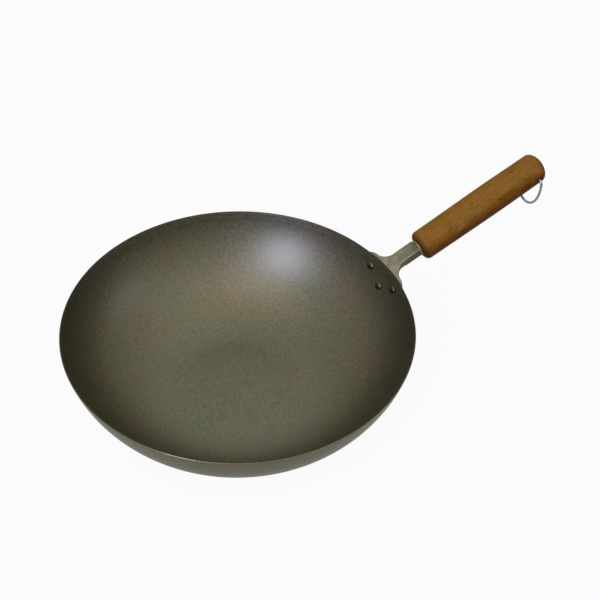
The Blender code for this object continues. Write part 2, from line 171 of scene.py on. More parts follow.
def srgb(hex_colour):
    """A colour written as sRGB hex, as linear red, green, blue and alpha."""
    linear = []
    for i in (1, 3, 5):
        channel = int(hex_colour[i:i + 2], 16) / 255
        linear.append(channel / 12.92 if channel <= 0.04045 else ((channel + 0.055) / 1.055) ** 2.4)
    return (*linear, 1.0)


def add_node(tree, kind, inputs=None, stops=(), **settings):
    """Add a node to a tree. Settings are its properties, stops are a colour ramp's (place, colour) pairs,
    and inputs maps a socket's name or number to a value, or to another node's output."""
    node = tree.nodes.new(kind)
    for name, value in settings.items():
        setattr(node, name, value)
    if stops:
        elements = node.color_ramp.elements
        while len(elements) < len(stops):
            elements.new(0.5)
        for element, (place, colour) in zip(elements, stops):
            element.position = place
            element.color = srgb(colour)
    for key, value in (inputs or {}).items():
        if isinstance(value, bpy.types.NodeSocket):
            tree.links.new(value, node.inputs[key])
        else:
            node.inputs[key].default_value = value
    return node


def new_shape_tree(name, sockets):
    """A geometry node tree with a shape in, the named inputs, and a shape out."""
    tree = bpy.data.node_groups.new(name, "GeometryNodeTree")
    tree.interface.new_socket("Geometry", in_out="INPUT", socket_type="NodeSocketGeometry")
    for label, kind in sockets:
        tree.interface.new_socket(label, in_out="INPUT", socket_type=kind)
    tree.interface.new_socket("Geometry", in_out="OUTPUT", socket_type="NodeSocketGeometry")
    return tree, add_node(tree, "NodeGroupInput")


def end_shape_tree(tree, shape, material):
    """The end of every shape tree: smooth shading, plain geometry and one finish."""
    smooth = add_node(tree, "GeometryNodeSetShadeSmooth", {"Geometry": shape})
    real = add_node(tree, "GeometryNodeRealizeInstances", {"Geometry": smooth.outputs[0]})
    finished = add_node(tree, "GeometryNodeSetMaterial", {"Geometry": real.outputs[0], "Material": material})
    add_node(tree, "NodeGroupOutput", {0: finished.outputs[0]})


def turning_tree():
    """Turns a profile, given as an edge chain at +X, once round Z, as a lathe or a spinning chuck does."""
    tree, given = new_shape_tree("turning", [("Steps", "NodeSocketInt"), ("Material", "NodeSocketMaterial")])
    profile, steps = given.outputs["Geometry"], given.outputs["Steps"]
    count = add_node(tree, "GeometryNodeAttributeDomainSize", {0: profile}).outputs["Point Count"]
    rows = add_node(tree, "ShaderNodeMath", {0: steps, 1: 1.0}, operation="ADD")
    grid = add_node(tree, "GeometryNodeMeshGrid", {"Vertices X": rows.outputs[0], "Vertices Y": count})

    index = add_node(tree, "GeometryNodeInputIndex").outputs[0]
    row = add_node(tree, "FunctionNodeIntegerMath", {0: index, 1: count}, operation="DIVIDE_FLOOR")
    place = add_node(tree, "FunctionNodeIntegerMath", {0: index, 1: count}, operation="MODULO")
    position = add_node(tree, "GeometryNodeInputPosition").outputs[0]
    point = add_node(
        tree, "GeometryNodeSampleIndex",
        {"Geometry": profile, "Value": position, "Index": place.outputs[0]}, data_type="FLOAT_VECTOR")
    share = add_node(tree, "ShaderNodeMath", {0: row.outputs[0], 1: steps}, operation="DIVIDE")
    angle = add_node(tree, "ShaderNodeMath", {0: share.outputs[0], 1: math.tau}, operation="MULTIPLY")
    spun = add_node(
        tree, "ShaderNodeVectorRotate", {"Vector": point.outputs[0], "Angle": angle.outputs[0]},
        rotation_type="Z_AXIS")
    placed = add_node(
        tree, "GeometryNodeSetPosition", {"Geometry": grid.outputs[0], "Position": spun.outputs[0]})
    closed = add_node(tree, "GeometryNodeMergeByDistance", {"Geometry": placed.outputs[0], "Distance": WELD})
    end_shape_tree(tree, closed.outputs[0], given.outputs["Material"])
    return tree


def riveting_tree():
    """Sets one rivet at each point of a shape, upright on the direction that the point carries."""
    sockets = [("Rivet", "NodeSocketObject"), ("Material", "NodeSocketMaterial")]
    tree, given = new_shape_tree("riveting", sockets)
    rivet = add_node(tree, "GeometryNodeObjectInfo", {"Object": given.outputs["Rivet"]})
    outwards = add_node(
        tree, "GeometryNodeInputNamedAttribute", {"Name": "outwards"}, data_type="FLOAT_VECTOR")
    upright = add_node(tree, "FunctionNodeAlignRotationToVector", {"Vector": outwards.outputs[0]}, axis="Z")
    points = add_node(tree, "GeometryNodeMeshToPoints", {0: given.outputs["Geometry"]})
    set_rivets = add_node(
        tree, "GeometryNodeInstanceOnPoints",
        {"Points": points.outputs[0], "Instance": rivet.outputs["Geometry"], "Rotation": upright.outputs[0]})
    end_shape_tree(tree, set_rivets.outputs[0], given.outputs["Material"])
    return tree


def wire_tree():
    """Draws a round wire along an edge chain, with flat cut ends."""
    sockets = [("Radius", "NodeSocketFloat"), ("Sides", "NodeSocketInt"), ("Material", "NodeSocketMaterial")]
    tree, given = new_shape_tree("wire_bending", sockets)
    path = add_node(tree, "GeometryNodeMeshToCurve", {0: given.outputs["Geometry"]})
    section = add_node(
        tree, "GeometryNodeCurvePrimitiveCircle",
        {"Resolution": given.outputs["Sides"], "Radius": given.outputs["Radius"]})
    wire = add_node(
        tree, "GeometryNodeCurveToMesh",
        {"Curve": path.outputs[0], "Profile Curve": section.outputs[0], "Fill Caps": True})
    end_shape_tree(tree, wire.outputs[0], given.outputs["Material"])
    return tree


def new_object(name, mesh):
    """Put a mesh in the scene under a name."""
    item = bpy.data.objects.new(name, mesh)
    bpy.context.scene.collection.objects.link(item)
    return item


def chain(name, points):
    """An object that is only an edge chain through some points."""
    mesh = bpy.data.meshes.new(name)
    mesh.from_pydata(points, [(i, i + 1) for i in range(len(points) - 1)], [])
    return new_object(name, mesh)


def tidy_mesh(mesh):
    """Weld a mesh, turn its faces outwards, and shade it round with true corners kept sharp."""
    shape = bmesh.new()
    shape.from_mesh(mesh)
    bmesh.ops.remove_doubles(shape, verts=shape.verts, dist=WELD)
    bmesh.ops.recalc_face_normals(shape, faces=shape.faces)
    shape.to_mesh(mesh)
    shape.free()
    mesh.shade_smooth()
    mesh.set_sharp_from_angle(angle=SHARP_CORNER)


def keep_shape(item, place=None):
    """Replace an object's mesh with the shape that its modifiers make of it, in its place in the wok's own
    frame, and take the modifiers off."""
    shaped = item.evaluated_get(bpy.context.evaluated_depsgraph_get())
    mesh = bpy.data.meshes.new_from_object(shaped)
    item.modifiers.clear()
    item.data = mesh
    mesh.name = item.name
    if place is not None:
        mesh.transform(place)
    tidy_mesh(mesh)
    return item


def run_tree(item, tree, values, place=None):
    """Give an object's mesh to a shape tree, with values for its named inputs, and keep what it makes."""
    modifier = item.modifiers.new(tree.name, "NODES")
    modifier.node_group = tree
    for socket in tree.interface.items_tree:
        if socket.in_out == "INPUT" and socket.name in values:
            modifier[socket.identifier] = values[socket.name]
    return keep_shape(item, place)


def turned(name, profile, steps, finish, place=None):
    """A turned piece from half its section as (radius, height)."""
    item = chain(name, [(radius, 0.0, height) for radius, height in profile])
    return run_tree(item, TURNING, {"Steps": steps, "Material": finish}, place)


def drill(name, radius, top, low, finish, place):
    """A cutter for a round hole, from its top to its low end along its place's Z."""
    return turned(name, [(0.0, top), (radius, top), (radius, low), (0.0, low)], SMALL_STEPS, finish, place)


def drilled(item, cutters):
    """Drill holes through a piece, and keep the drilled shape."""
    for cutter in cutters:
        boolean = item.modifiers.new(cutter.name, "BOOLEAN")
        boolean.operation = "DIFFERENCE"
        boolean.solver = "EXACT"
        boolean.object = cutter
    keep_shape(item)
    for cutter in cutters:
        bpy.data.objects.remove(cutter, do_unlink=True)
    return item


def dress(item, body, slot, *nodes):
    """Let a piece ride on its body and stand for its nodes. The slot is not used."""
    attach(item, body)
    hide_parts(*nodes)
    return item


class Wall:
    """The outside of the bowl's wall: one arc, level where it leaves the base and ending at the rim."""

    reach = RIM_RADIUS - BASE_RADIUS
    radius = (BOWL_DEPTH ** 2 + reach ** 2) / (2 * BOWL_DEPTH)
    rim_angle = math.atan2(reach, radius - BOWL_DEPTH)

    @classmethod
    def angle_at(cls, drop):
        """The arc's angle at a distance over the wall below the rim."""
        return cls.rim_angle - drop / cls.radius

    @classmethod
    def point(cls, angle, offset=0.0):
        """Radius and height of a point of the arc, moved out of the wall by offset."""
        arm = cls.radius + offset
        return BASE_RADIUS + arm * math.sin(angle), cls.radius - arm * math.cos(angle)


def make_bowl(finish):
    """The bowl, spun from one disc, with its trimmed rim left round."""
    wall_points, base_points, lip_points = 72, 16, 8
    last = Wall.rim_angle - BOWL_WALL / 2 / Wall.radius
    angles = [last * i / wall_points for i in range(wall_points + 1)]
    inside = [Wall.point(angle, -BOWL_WALL) for angle in angles]
    outside = [Wall.point(angle) for angle in reversed(angles)]
    middle = Wall.point(last, -BOWL_WALL / 2)
    half_wall = (BOWL_WALL / 2, BOWL_WALL / 2)
    lip = arc(middle, half_wall, math.pi / 2 + last, last - math.pi / 2, lip_points)[1:-1]
    floor = [(0.0, BOWL_WALL)] + between((0.0, BOWL_WALL), inside[0], base_points)[:-1]
    under = between(outside[-1], (0.0, 0.0), base_points)
    bowl = turned("spun_bowl", floor + inside + lip + outside + under, BOWL_STEPS, finish)
    return dress(drilled(bowl, rivet_drills(finish)), "wok", "titanium_skin", "bowl")


def wall_frame(drop, sideways):
    """A frame on the outside of the wall, with Z straight out of it, from the distance below the rim and
    the distance round the wall from the handle."""
    angle = Wall.angle_at(drop)
    radius, height = Wall.point(angle)
    turn = Matrix.Rotation(sideways / radius, 4, "Z")
    lean = Matrix.Rotation(math.pi - angle, 4, "Y")
    return turn @ Matrix.Translation((radius, 0.0, height)) @ lean


def rivet_frames():
    """The frames on the wall in which the left, the right and the lower rivet stand."""
    half = RIVET_SPREAD / 2
    places = (RIVET_DROP, half), (RIVET_DROP, -half), (LOWER_RIVET_DROP, 0.0)
    return [wall_frame(drop, sideways) for drop, sideways in places]


def rivet_drills(finish):
    """Cutters for the rivets' holes through wall and plate."""
    reach = 2 * (BOWL_WALL + SHEET + SEAT)
    radius = SHANK_RADIUS + HOLE_FIT
    return [drill("rivet_drill", radius, reach, -reach, finish, place) for place in rivet_frames()]


def rivet_head(seat, side):
    """Half the section of a rivet's head, from its top to its shank: a low dome on a short straight skirt.
    Side is 1 for the head outside the wall, and -1 for the one inside."""
    dome_points = 12
    top = seat + side * HEAD_HEIGHT
    skirt = seat + side * HEAD_SKIRT
    dome = arc((0.0, skirt), (HEAD_RADIUS, top - skirt), math.pi / 2, 0.0, dome_points)
    return [(0.0, top)] + dome[1:] + [(HEAD_RADIUS, seat), (SHANK_RADIUS, seat)]


def make_rivets(finish):
    """The three rivets through wall and plate, with a low round head on both sides."""
    outer = rivet_head(SEAT + SHEET + SEAT, 1)
    inner = rivet_head(-BOWL_WALL - HEAD_SEAT, -1)
    rivet = turned("one_rivet", outer + inner[::-1], SMALL_STEPS, finish)

    places = rivet_frames()
    points = chain("rivets", [place.translation for place in places])
    outwards = points.data.attributes.new("outwards", "FLOAT_VECTOR", "POINT")
    for entry, place in zip(outwards.data, places):
        entry.vector = place.col[2].to_3d()
    rivets = run_tree(points, RIVETING, {"Rivet": rivet, "Material": finish})
    bpy.data.objects.remove(rivet, do_unlink=True)
    return dress(rivets, "wok", "rivets", "rivet_left", "rivet_right", "rivet_lower")


class BracketLine:
    """The middle line of the bracket's upper face, seen from the side. It lies on the wall, leaves it in a
    bend under the rim, climbs past the rim, eases in a wide bend and runs straight along the neck. Stations
    are distances along it from where it leaves the wall."""

    wall = Wall.radius + SEAT
    leave = Wall.angle_at(LEAVE_DROP)
    bend_centre = Vector(Wall.point(leave, SEAT + RIM_BEND))
    climb_start = (leave - CLIMB_RISE) * RIM_BEND

    # The climb and the neck's upper face would meet in a corner, which the wide bend cuts off
    climb = Vector((math.cos(CLIMB_RISE), math.sin(CLIMB_RISE)))
    foot = bend_centre + Vector((-climb.y, climb.x)) * RIM_BEND
    along = Vector((math.cos(HANDLE_RISE), math.sin(HANDLE_RISE)))
    up = Vector((-along.y, along.x))
    neck = Vector((RIM_RADIUS, BOWL_DEPTH - AXIS_DROP)) + up * (TANG_RADIUS + SEAT + SHEET)
    corner_at = (neck - foot).dot(up) / climb.dot(up)
    corner = foot + climb * corner_at
    cut_back = EASE_BEND * math.tan((CLIMB_RISE - HANDLE_RISE) / 2)
    ease_start = climb_start + corner_at - cut_back
    ease_centre = corner - climb * cut_back - Vector((-climb.y, climb.x)) * EASE_BEND
    neck_start = ease_start + (CLIMB_RISE - HANDLE_RISE) * EASE_BEND

    @classmethod
    def station(cls, drop):
        """The station of a place on the wall, from its distance below the rim."""
        return (Wall.angle_at(drop) - cls.leave) * cls.wall

    @classmethod
    def end(cls):
        """The station where the neck meets the collar."""
        past = (cls.corner - cls.neck).dot(cls.along) + cls.cut_back
        return cls.neck_start + GRIP_START - COLLAR_LENGTH - SEAT - past

    @classmethod
    def at(cls, station):
        """The line's point (radius, height) and its direction as an angle from level."""
        if station < 0:
            angle = cls.leave + station / cls.wall
            return Vector(Wall.point(angle, SEAT)), angle
        if station < cls.climb_start:
            angle = cls.leave - station / RIM_BEND
            return cls.bend_centre + Vector((-math.sin(angle), math.cos(angle))) * RIM_BEND, angle
        if station < cls.ease_start:
            return cls.foot + cls.climb * (station - cls.climb_start), CLIMB_RISE
        if station < cls.neck_start:
            angle = CLIMB_RISE - (station - cls.ease_start) / EASE_BEND
            return cls.ease_centre + Vector((-math.sin(angle), math.cos(angle))) * EASE_BEND, angle
        return cls.corner + cls.along * (cls.cut_back + station - cls.neck_start), HANDLE_RISE


def bracket_outline():
    """Half the bracket's outline as (station, half width), from the foot of the plate to the end of the
    neck: arcs of one margin round the rivets, a flare, and the straight neck. Also the stations where the
    flare starts and ends."""
    foot = BracketLine.station(LOWER_RIVET_DROP)
    corner = BracketLine.station(RIVET_DROP)
    corner_at = RIVET_SPREAD / 2
    span = math.hypot(corner - foot, corner_at)
    side = -math.asin(corner_at / span)
    flare_at = NECK_WIDTH / 2 + FLARE_RADIUS
    meet = math.acos((flare_at - corner_at) / (PLATE_MARGIN + FLARE_RADIUS))
    flare = corner + (PLATE_MARGIN + FLARE_RADIUS) * math.sin(meet)
    margin = (PLATE_MARGIN, PLATE_MARGIN)
    fillet = (FLARE_RADIUS, FLARE_RADIUS)

    foot_points, side_points, shoulder_points, flare_points, neck_points = 14, 14, 44, 32, 24
    # The outline starts a degree round the foot, because its first section needs a width
    start = math.radians(1) - math.pi / 2
    points = arc((0.0, foot), margin, start, side, foot_points)
    shoulder = arc((corner_at, corner), margin, side, meet, shoulder_points)
    points += between(points[-1], shoulder[0], side_points)[:-1] + shoulder
    points += arc((flare_at, flare), fillet, math.pi + meet, math.pi, flare_points)[1:]
    points += between(points[-1], (NECK_WIDTH / 2, BracketLine.end()), neck_points)
    return [(station, half) for half, station in points], shoulder[-1][1], flare


def bracket_section(half, lip):
    """A closed section of the bracket, round from the middle of its upper face: the sheet's web, and along
    each edge a lip turned down to a depth of lip. If that is the sheet's thickness, there is none. Its
    points are (sideways, down, flank), where flank is 1 on a lip's outer side and edge, and 0 elsewhere."""
    web_points, bend_points, edge_points = 20, 8, 4
    grown = (lip - SHEET) / (NECK_HEIGHT - SHEET)
    narrow = NARROW_SHARE * half
    bend = min(SHEARED_EDGE + (FLANGE_BEND - SHEARED_EDGE) * grown, narrow)
    edge = min(SHEARED_EDGE, narrow)
    inner_edge = edge * grown
    inner_bend = INNER_BEND * grown
    inside = half - min(SHEET, narrow)
    flat = half - bend
    top = [(flat * i / web_points, 0.0) for i in range(web_points)]
    top += arc((flat, bend), (bend, bend), -math.pi / 2, -math.pi / 4, bend_points)
    flank = arc((flat, bend), (bend, bend), -math.pi / 4, 0.0, bend_points)[1:]
    flank += arc((half - edge, lip - edge), (edge, edge), 0.0, math.pi / 2, edge_points)
    inner_round = (inner_edge, inner_edge)
    flank += arc((inside + inner_edge, lip - inner_edge), inner_round, math.pi / 2, math.pi, edge_points)
    turn = (inside - inner_bend, SHEET + inner_bend)
    under = arc(turn, (inner_bend, inner_bend), 0.0, -math.pi / 2, bend_points)
    under += [((inside - inner_bend) * i / web_points, SHEET) for i in range(web_points - 1, -1, -1)]
    side = [(*point, 0.0) for point in top]
    side += [(*point, 1.0) for point in flank]
    side += [(*point, 0.0) for point in under]
    return side + [(-across, down, flank) for across, down, flank in reversed(side[1:-1])]


def make_bracket(finish):
    """The bracket, pressed from one sheet: a plate that lies on the wall round the rivets, bends out at the
    rim and draws in to a neck, with edges that turn down into flanges. It is lofted through sections across
    its line, which wrap round the wall on the plate and lie flat on the neck."""
    outline, shoulder, flare = bracket_outline()
    shape = bmesh.new()
    flank_layer = shape.verts.layers.float.new("flank")
    rings = []
    for station, half in outline:
        centre, angle = BracketLine.at(station)
        lip = SHEET + (NECK_HEIGHT - SHEET) * smooth_step((station - shoulder) / FLANGE_RUN)
        wrap = 1.0 - smooth_step(station / flare)
        ring = []
        for across, down, flank in bracket_section(half, lip):
            round_wall = across / centre.x
            radius = centre.x + math.sin(angle) * down
            x = radius - wrap * radius * (1 - math.cos(round_wall))
            y = across + wrap * (radius * math.sin(round_wall) - across)
            corner = shape.verts.new((x, y, centre.y - math.cos(angle) * down))
            corner[flank_layer] = flank
            ring.append(corner)
        rings.append(ring)
    for lower, upper in zip(rings, rings[1:]):
        for i in range(len(lower)):
            after = (i + 1) % len(lower)
            shape.faces.new((lower[i], upper[i], upper[after], lower[after]))
    shape.faces.new(rings[0])
    shape.faces.new(rings[-1])
    mesh = bpy.data.meshes.new("pressed_bracket")
    shape.to_mesh(mesh)
    shape.free()
    mesh.materials.append(finish)
    tidy_mesh(mesh)
    bracket = drilled(new_object("pressed_bracket", mesh), rivet_drills(finish))
    return dress(bracket, "wok", "titanium_bracket", "handle_bracket")


def make_collar(finish):
    """The turned collar between the neck and the grip, with its spigot and its bore for the tang."""
    front = GRIP_START - COLLAR_LENGTH
    back = GRIP_START - SEAT
    far = GRIP_START + SPIGOT_LENGTH
    bore = TANG_RADIUS + HOLE_FIT
    edge = (COLLAR_ROUND, COLLAR_ROUND)
    edge_points = 8
    inset = COLLAR_RADIUS - COLLAR_ROUND
    profile = [(bore, far), (SPIGOT_RADIUS, far), (SPIGOT_RADIUS, back)]
    profile += arc((inset, back - COLLAR_ROUND), edge, math.pi / 2, 0.0, edge_points)
    profile += arc((inset, front + COLLAR_ROUND), edge, 0.0, -math.pi / 2, edge_points)
    profile += [(bore, front), (bore, far)]
    collar = turned("turned_collar", profile, TURNED_STEPS, finish, ALONG_AXIS)
    return dress(collar, "wok", "collar_steel", "collar")


def make_tang(finish):
    """The round steel tang under the neck's web, through the collar and into the grip."""
    start = GRIP_START - COLLAR_LENGTH - TANG_IN_NECK
    end = GRIP_START + TANG_IN_GRIP
    slim = TANG_RADIUS - TANG_CHAMFER
    profile = [(0.0, end), (slim, end), (TANG_RADIUS, end - TANG_CHAMFER)]
    profile += [(TANG_RADIUS, start + TANG_CHAMFER), (slim, start), (0.0, start)]
    tang = turned("tang_bar", profile, SMALL_STEPS, finish, ALONG_AXIS)
    return dress(drilled(tang, [pin_drill(finish)]), "wok", "tang_steel", "tang")


def grip_radius(along):
    """The grip's turned radius, from its front face: it swells to its fullest and eases to the tail."""
    if along < GRIP_SWELL_AT:
        share = smooth_step(along / GRIP_SWELL_AT)
        return GRIP_FRONT_RADIUS + (GRIP_SWELL_RADIUS - GRIP_FRONT_RADIUS) * share
    share = smooth_step((along - GRIP_SWELL_AT) / (GRIP_LENGTH - GRIP_DOME - GRIP_SWELL_AT))
    return GRIP_SWELL_RADIUS + (GRIP_TAIL_RADIUS - GRIP_SWELL_RADIUS) * share


def pin_drill(finish):
    """A cutter for the pin's hole, up from the lower side of the grip and through the tang."""
    top = -grip_radius(PIN_AT) + PIN_SUNK + PIN_DEPTH + SEAT
    low = top - 2 * grip_radius(PIN_AT)
    return drill("pin_drill", PIN_RADIUS + HOLE_FIT, top, low, finish, PIN_PLACE)


def make_pin(finish):
    """The pin that holds the grip on the tang, a little under the wood's surface on the lower side."""
    low = -grip_radius(PIN_AT) + PIN_SUNK
    high = low + PIN_DEPTH
    slim = PIN_RADIUS - PIN_CHAMFER
    profile = [(0.0, high), (slim, high), (PIN_RADIUS, high - PIN_CHAMFER)]
    profile += [(PIN_RADIUS, low + PIN_CHAMFER), (slim, low), (0.0, low)]
    pin = turned("lock_pin", profile, SMALL_STEPS, finish, PIN_PLACE)
    return dress(pin, "wok", "tang_steel", "grip_pin")


def make_grip(finish):
    """The turned wooden grip: rounded shoulders at the front, a gentle swell, a domed butt, the bore for
    the tang with its counterbore, and the holes for the pin and the ring."""
    tail = GRIP_LENGTH - GRIP_DOME
    bore = TANG_RADIUS + HOLE_FIT
    seat = SPIGOT_RADIUS + HOLE_FIT
    dome_points, body_points, shoulder_points = 32, 96, 16
    dome = arc((0.0, tail), (GRIP_TAIL_RADIUS, GRIP_DOME), math.pi / 2, 0.0, dome_points)
    dome[0] = (0.0, GRIP_LENGTH)
    shoulder = grip_radius(GRIP_FRONT_ROUND)
    rounding = (GRIP_FRONT_ROUND, GRIP_FRONT_ROUND)
    turn = (shoulder - GRIP_FRONT_ROUND, GRIP_FRONT_ROUND)
    front = arc(turn, rounding, 0.0, -math.pi / 2, shoulder_points)
    stations = [tail + (GRIP_FRONT_ROUND - tail) * i / body_points for i in range(1, body_points)]
    body = [(grip_radius(along), along) for along in stations]
    inside = [(seat, 0.0), (seat, SPIGOT_LENGTH + SEAT), (bore, SPIGOT_LENGTH + SEAT)]
    inside += [(bore, TANG_IN_GRIP + SEAT), (0.0, TANG_IN_GRIP + SEAT)]
    place = ALONG_AXIS @ Matrix.Translation((0.0, 0.0, GRIP_START))
    grip = turned("turned_grip", dome + body + front + inside, TURNED_STEPS, finish, place)

    across = AXIS_FRAME @ Matrix.Translation((RING_HOLE_AT, 0.0, 0.0)) @ Matrix.Rotation(math.pi / 2, 4, "X")
    reach = 2 * GRIP_TAIL_RADIUS
    ring_drill = drill("ring_drill", WIRE_RADIUS + RING_PLAY, reach, -reach, finish, across)
    return dress(drilled(grip, [ring_drill, pin_drill(finish)]), "wok", "handle_wood", "grip")


def ring_path():
    """Half the ring's wire as (sideways, down), from its end in the cross hole to the lowest point."""
    end_points, elbow_points, bow_points = 12, 20, 64
    elbow_at = RING_HALF_WIDTH - RING_ELBOW
    reach = RING_DEPTH - RING_SHOULDER
    points = [(RING_END_GAP / 2, 0.0)]
    points += between(points[0], (elbow_at, 0.0), end_points)[:-1]
    points += arc((elbow_at, RING_ELBOW), (RING_ELBOW, RING_ELBOW), -math.pi / 2, 0.0, elbow_points)
    points += arc((0.0, RING_SHOULDER), (RING_HALF_WIDTH, reach), 0.0, math.pi / 2, bow_points)
    return points


def make_ring(finish):
    """The hanging ring: one bent wire whose two ends meet, with a gap, inside the cross hole."""
    half = ring_path()
    path = half[:-1] + [(0.0, RING_DEPTH)] + [(-across, down) for across, down in reversed(half[:-1])]
    hinge = AXIS_FRAME @ Vector((RING_HOLE_AT, 0.0, 0.0))
    wire = chain("wire_ring", [(0.0, across, -down) for across, down in path])
    values = {"Radius": WIRE_RADIUS, "Sides": WIRE_SIDES, "Material": finish}
    ring = run_tree(wire, WIRE, values, Matrix.Translation(hinge))
    return dress(ring, "ring", "ring_wire", "hanging_ring")


def new_finish(name):
    """A material with an empty tree."""
    finish = bpy.data.materials.new(name)
    finish.use_nodes = True
    finish.node_tree.nodes.clear()
    return finish, finish.node_tree


def end_finish(finish, inputs):
    """The end of every finish on the wok: its Principled shader, with what each socket gets."""
    shader = add_node(finish.node_tree, "ShaderNodeBsdfPrincipled", inputs)
    add_node(finish.node_tree, "ShaderNodeOutputMaterial", {"Surface": shader.outputs[0]})
    return finish


def pattern_of(tree, coordinates, size_mm, detail=2.0, stretch=(1.0, 1.0, 1.0)):
    """Noise whose features are about size_mm across, and longer along each axis by its stretch."""
    scale = [1.0 / (size_mm * MM * longer) for longer in stretch]
    scaled = add_node(tree, "ShaderNodeMapping", {"Vector": coordinates, "Scale": scale})
    inputs = {"Vector": scaled.outputs[0], "Scale": 1.0, "Detail": detail, "Roughness": 0.55}
    return add_node(tree, "ShaderNodeTexNoise", inputs).outputs["Fac"]


def tone_over(tree, value, low, high, stops):
    """The colour that a value has on its way from low to high, through stops at shares of that way."""
    inputs = {"Value": value, "From Min": low, "From Max": high}
    share = add_node(tree, "ShaderNodeMapRange", inputs).outputs["Result"]
    return add_node(tree, "ShaderNodeValToRGB", {"Fac": share}, stops=stops).outputs["Color"]


def handle_coordinates(tree):
    """Object coordinates turned so that X runs along the handle's axis."""
    here = add_node(tree, "ShaderNodeTexCoord").outputs["Object"]
    inputs = {"Vector": here, "Location": AXIS_FRAME.translation, "Rotation": (0.0, -HANDLE_RISE, 0.0)}
    return add_node(tree, "ShaderNodeMapping", inputs, vector_type="TEXTURE").outputs[0]


def rim_sides(tree, here):
    """Two masks: the inside of the bowl with the inner half of its lip, and the outer half of the lip."""
    normal = add_node(tree, "ShaderNodeNewGeometry").outputs["Normal"]
    rise = add_node(tree, "ShaderNodeSeparateXYZ", {"Vector": normal}).outputs["Z"]
    upwards = add_node(tree, "ShaderNodeMath", {0: rise, 1: 0.0}, operation="GREATER_THAN").outputs[0]
    level = add_node(tree, "ShaderNodeVectorMath", {0: here, 1: (1.0, 1.0, 0.0)}, operation="MULTIPLY")
    radius = add_node(tree, "ShaderNodeVectorMath", {0: level.outputs[0]}, operation="LENGTH")
    lip_radius = Wall.point(Wall.rim_angle, -BOWL_WALL / 2)[0]
    inputs = {0: radius.outputs["Value"], 1: lip_radius}
    past = add_node(tree, "ShaderNodeMath", inputs, operation="GREATER_THAN").outputs[0]
    edge = add_node(tree, "ShaderNodeMath", {0: upwards, 1: past}, operation="MULTIPLY").outputs[0]
    inside = add_node(tree, "ShaderNodeMath", {0: upwards, 1: edge}, operation="SUBTRACT").outputs[0]
    return inside, edge


def wall_tone_and_painted_shade(tree, here, inside):
    """A factor for the tone of the bowl by height. On the inside there is a slightly brighter band under
    the rim, between a fine darker line and the lip, which painted shade makes darker again. The outside is
    as bright as that band at the rim, and painted shade darkens it towards the base."""
    height = add_node(tree, "ShaderNodeSeparateXYZ", {"Vector": here}).outputs["Z"]
    band = [(0.0, "#BCBCBC"), (0.1, "#ADADAD"), (0.15, "#B4B4B4"), (0.25, "#C4C4C4")]
    # The lip's darker stops are painted shade that dims its reflection
    lip = [(0.93, "#C4C4C4"), (0.97, "#7C7C7C")]
    inner = tone_over(tree, height, BOWL_DEPTH - RIM_BAND - RIM_LINE, BOWL_DEPTH, band + lip)
    # Painted shade: the outside darkens towards the base
    painted_outside_shade = [(0.1, "#929292"), (0.4, "#ABABAB"), (0.73, "#B8B8B8"), (1.0, "#C4C4C4")]
    outer = tone_over(tree, height, BOWL_DEPTH / 2, BOWL_DEPTH, painted_outside_shade)
    shade = add_node(tree, "ShaderNodeMix", {0: inside, 6: outer, 7: inner}, data_type="RGBA").outputs[2]
    return add_node(tree, "ShaderNodeMath", {0: shade, 1: WHITE_FACTOR}, operation="MULTIPLY").outputs[0]


def blasted_titanium():
    """Spun titanium, blasted with fine grit and browned by heat: dark and even, with a fine speckle, a soft
    sheen that is a little weaker at a glancing angle, and slow changes of tone between olive, warm grey and
    a trace of violet. The lip's outer edge was deburred smooth, and catches a bright line."""
    finish, tree = new_finish("blasted_heat_browned_titanium")
    here = add_node(tree, "ShaderNodeTexCoord").outputs["Object"]
    cloud = pattern_of(tree, here, 42.0)
    browns = [(0.34, "#585741"), (0.5, "#5A5740"), (0.66, "#5D5641")]
    tone = add_node(tree, "ShaderNodeValToRGB", {"Fac": cloud}, stops=browns).outputs["Color"]
    # The blasted grain is really about 0.1 mm, and is drawn as coarse as it needs to show
    grain = pattern_of(tree, here, 2.4)
    speckle = add_node(
        tree, "ShaderNodeMapRange", {"Value": grain, **MIDDLE_HALF, "To Min": 0.78, "To Max": 1.22})
    inside, edge = rim_sides(tree, here)
    # Painted shade: the lip and the lower part of the outside are darkened
    shade = wall_tone_and_painted_shade(tree, here, inside)
    inputs = {0: speckle.outputs[0], 1: shade}
    share = add_node(tree, "ShaderNodeMath", inputs, operation="MULTIPLY").outputs[0]
    colour = add_node(tree, "ShaderNodeVectorMath", {0: tone, "Scale": share}, operation="SCALE")

    deburred = 0.2
    blasted = add_node(
        tree, "ShaderNodeMapRange", {"Value": grain, **MIDDLE_HALF, "To Min": 0.37, "To Max": 0.45})
    rough = add_node(tree, "ShaderNodeMix", {0: edge, 2: blasted.outputs[0], 3: deburred})
    relief = add_node(tree, "ShaderNodeBump", {"Height": grain, "Distance": 0.02 * MM})
    return end_finish(finish, {
        "Base Color": colour.outputs[0], "Metallic": 0.9, "Roughness": rough.outputs[0],
        "Specular Tint": srgb("#E6E6E2"), "Normal": relief.outputs[0]})


